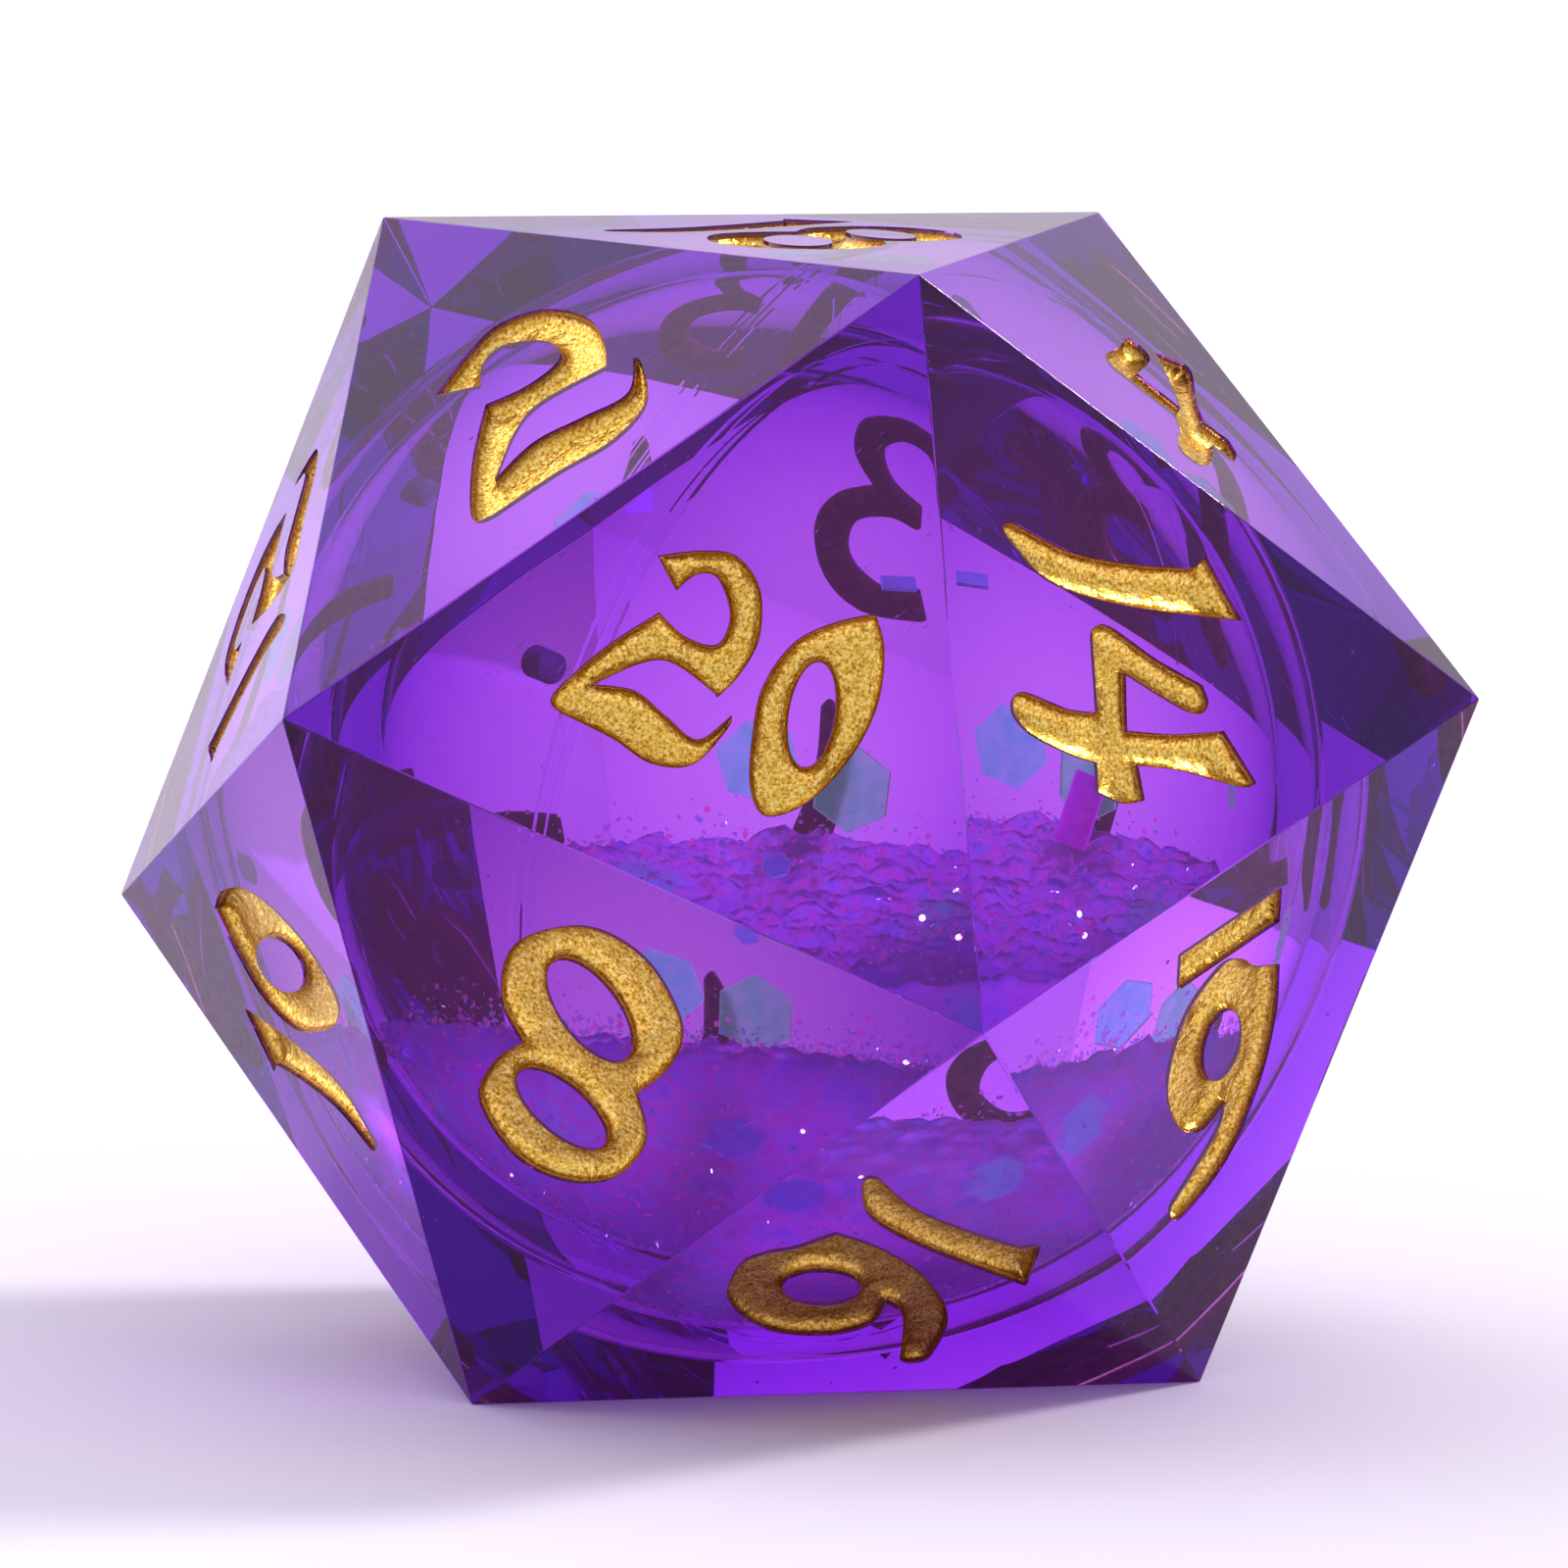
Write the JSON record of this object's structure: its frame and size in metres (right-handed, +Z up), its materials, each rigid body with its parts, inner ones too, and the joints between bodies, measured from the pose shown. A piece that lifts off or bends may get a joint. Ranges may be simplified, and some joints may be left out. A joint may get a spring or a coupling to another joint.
{
  "type": "polyhedral die",
  "caption": "Icosahedral gaming die of clear violet resin with engraved, gold-inked numerals and a sealed round capsule of liquid and drifting glitter at its core.",
  "frame": {"origin": "centre of face 3, the face that the die stands on", "axes": "+Z up through the centre of the opposite face 18; X along the lower front edge of face 3; -Y towards the corner where faces 20, 14, 6, 16 and 8 meet"},
  "size_m": [0.0236, 0.0272, 0.022],
  "materials": {
    "resin": "clear violet casting resin, polished, sharp edges",
    "capsule_shell": "clear violet moulded plastic, glossy",
    "capsule_plug": "violet plastic pin with a ring of glue",
    "core_liquid": "clear liquid, which looks violet through the resin",
    "glitter_cloud": "fine magenta, violet and blue shimmer settled in the liquid",
    "flake_teal": "iridescent film",
    "flake_green": "iridescent film",
    "flake_blue": "iridescent film",
    "flake_magenta": "iridescent film",
    "gold_ink": "metallic gold paint, grainy, brushed into the grooves"
  },
  "bodies": {
    "die": {"resin_lower_casting": "resin", "resin_upper_casting": "resin", "capsule_front_shell": "capsule_shell", "capsule_rear_shell": "capsule_shell", "capsule_fill_plug": "capsule_plug", "numeral_1_digit_1": "gold_ink", "numeral_2_digit_1": "gold_ink", "numeral_3_digit_1": "gold_ink", "numeral_4_digit_1": "gold_ink", "numeral_5_digit_1": "gold_ink", "numeral_6_digit_1": "gold_ink", "numeral_6_underline": "gold_ink", "numeral_7_digit_1": "gold_ink", "numeral_8_digit_1": "gold_ink", "numeral_9_digit_1": "gold_ink", "numeral_9_underline": "gold_ink", "numeral_10_digit_1": "gold_ink", "numeral_10_digit_2": "gold_ink", "numeral_11_digit_1": "gold_ink", "numeral_11_digit_2": "gold_ink", "numeral_12_digit_1": "gold_ink", "numeral_12_digit_2": "gold_ink", "numeral_13_digit_1": "gold_ink", "numeral_13_digit_2": "gold_ink", "numeral_14_digit_1": "gold_ink", "numeral_14_digit_2": "gold_ink", "numeral_15_digit_1": "gold_ink", "numeral_15_digit_2": "gold_ink", "numeral_16_digit_1": "gold_ink", "numeral_16_digit_2": "gold_ink", "numeral_17_digit_1": "gold_ink", "numeral_17_digit_2": "gold_ink", "numeral_18_digit_1": "gold_ink", "numeral_18_digit_2": "gold_ink", "numeral_19_digit_1": "gold_ink", "numeral_19_digit_2": "gold_ink", "numeral_20_digit_1": "gold_ink", "numeral_20_digit_2": "gold_ink"},
    "liquid": {"liquid_fill": "core_liquid", "glitter_flake_01": "flake_green", "glitter_flake_02": "flake_teal", "glitter_flake_03": "flake_magenta", "glitter_flake_04": "flake_blue", "glitter_flake_05": "flake_blue", "glitter_flake_06": "flake_green"},
    "glitter": {"glitter_cloud": "glitter_cloud", "glitter_flake_07": "flake_teal", "glitter_flake_08": "flake_blue", "glitter_flake_09": "flake_green", "glitter_flake_10": "flake_teal", "glitter_flake_11": "flake_teal", "glitter_flake_12": "flake_magenta"}
  },
  "joints": [
    {"name": "liquid_swirl", "type": "hinge", "parent": "die", "child": "liquid", "pos_m": [0, 0, 0.011], "axis": [0, 0, 1], "continuous": true},
    {"name": "glitter_swirl", "type": "hinge", "parent": "liquid", "child": "glitter", "pos_m": [0, 0, 0.011], "axis": [0, 0, 1], "continuous": true}
  ]
}
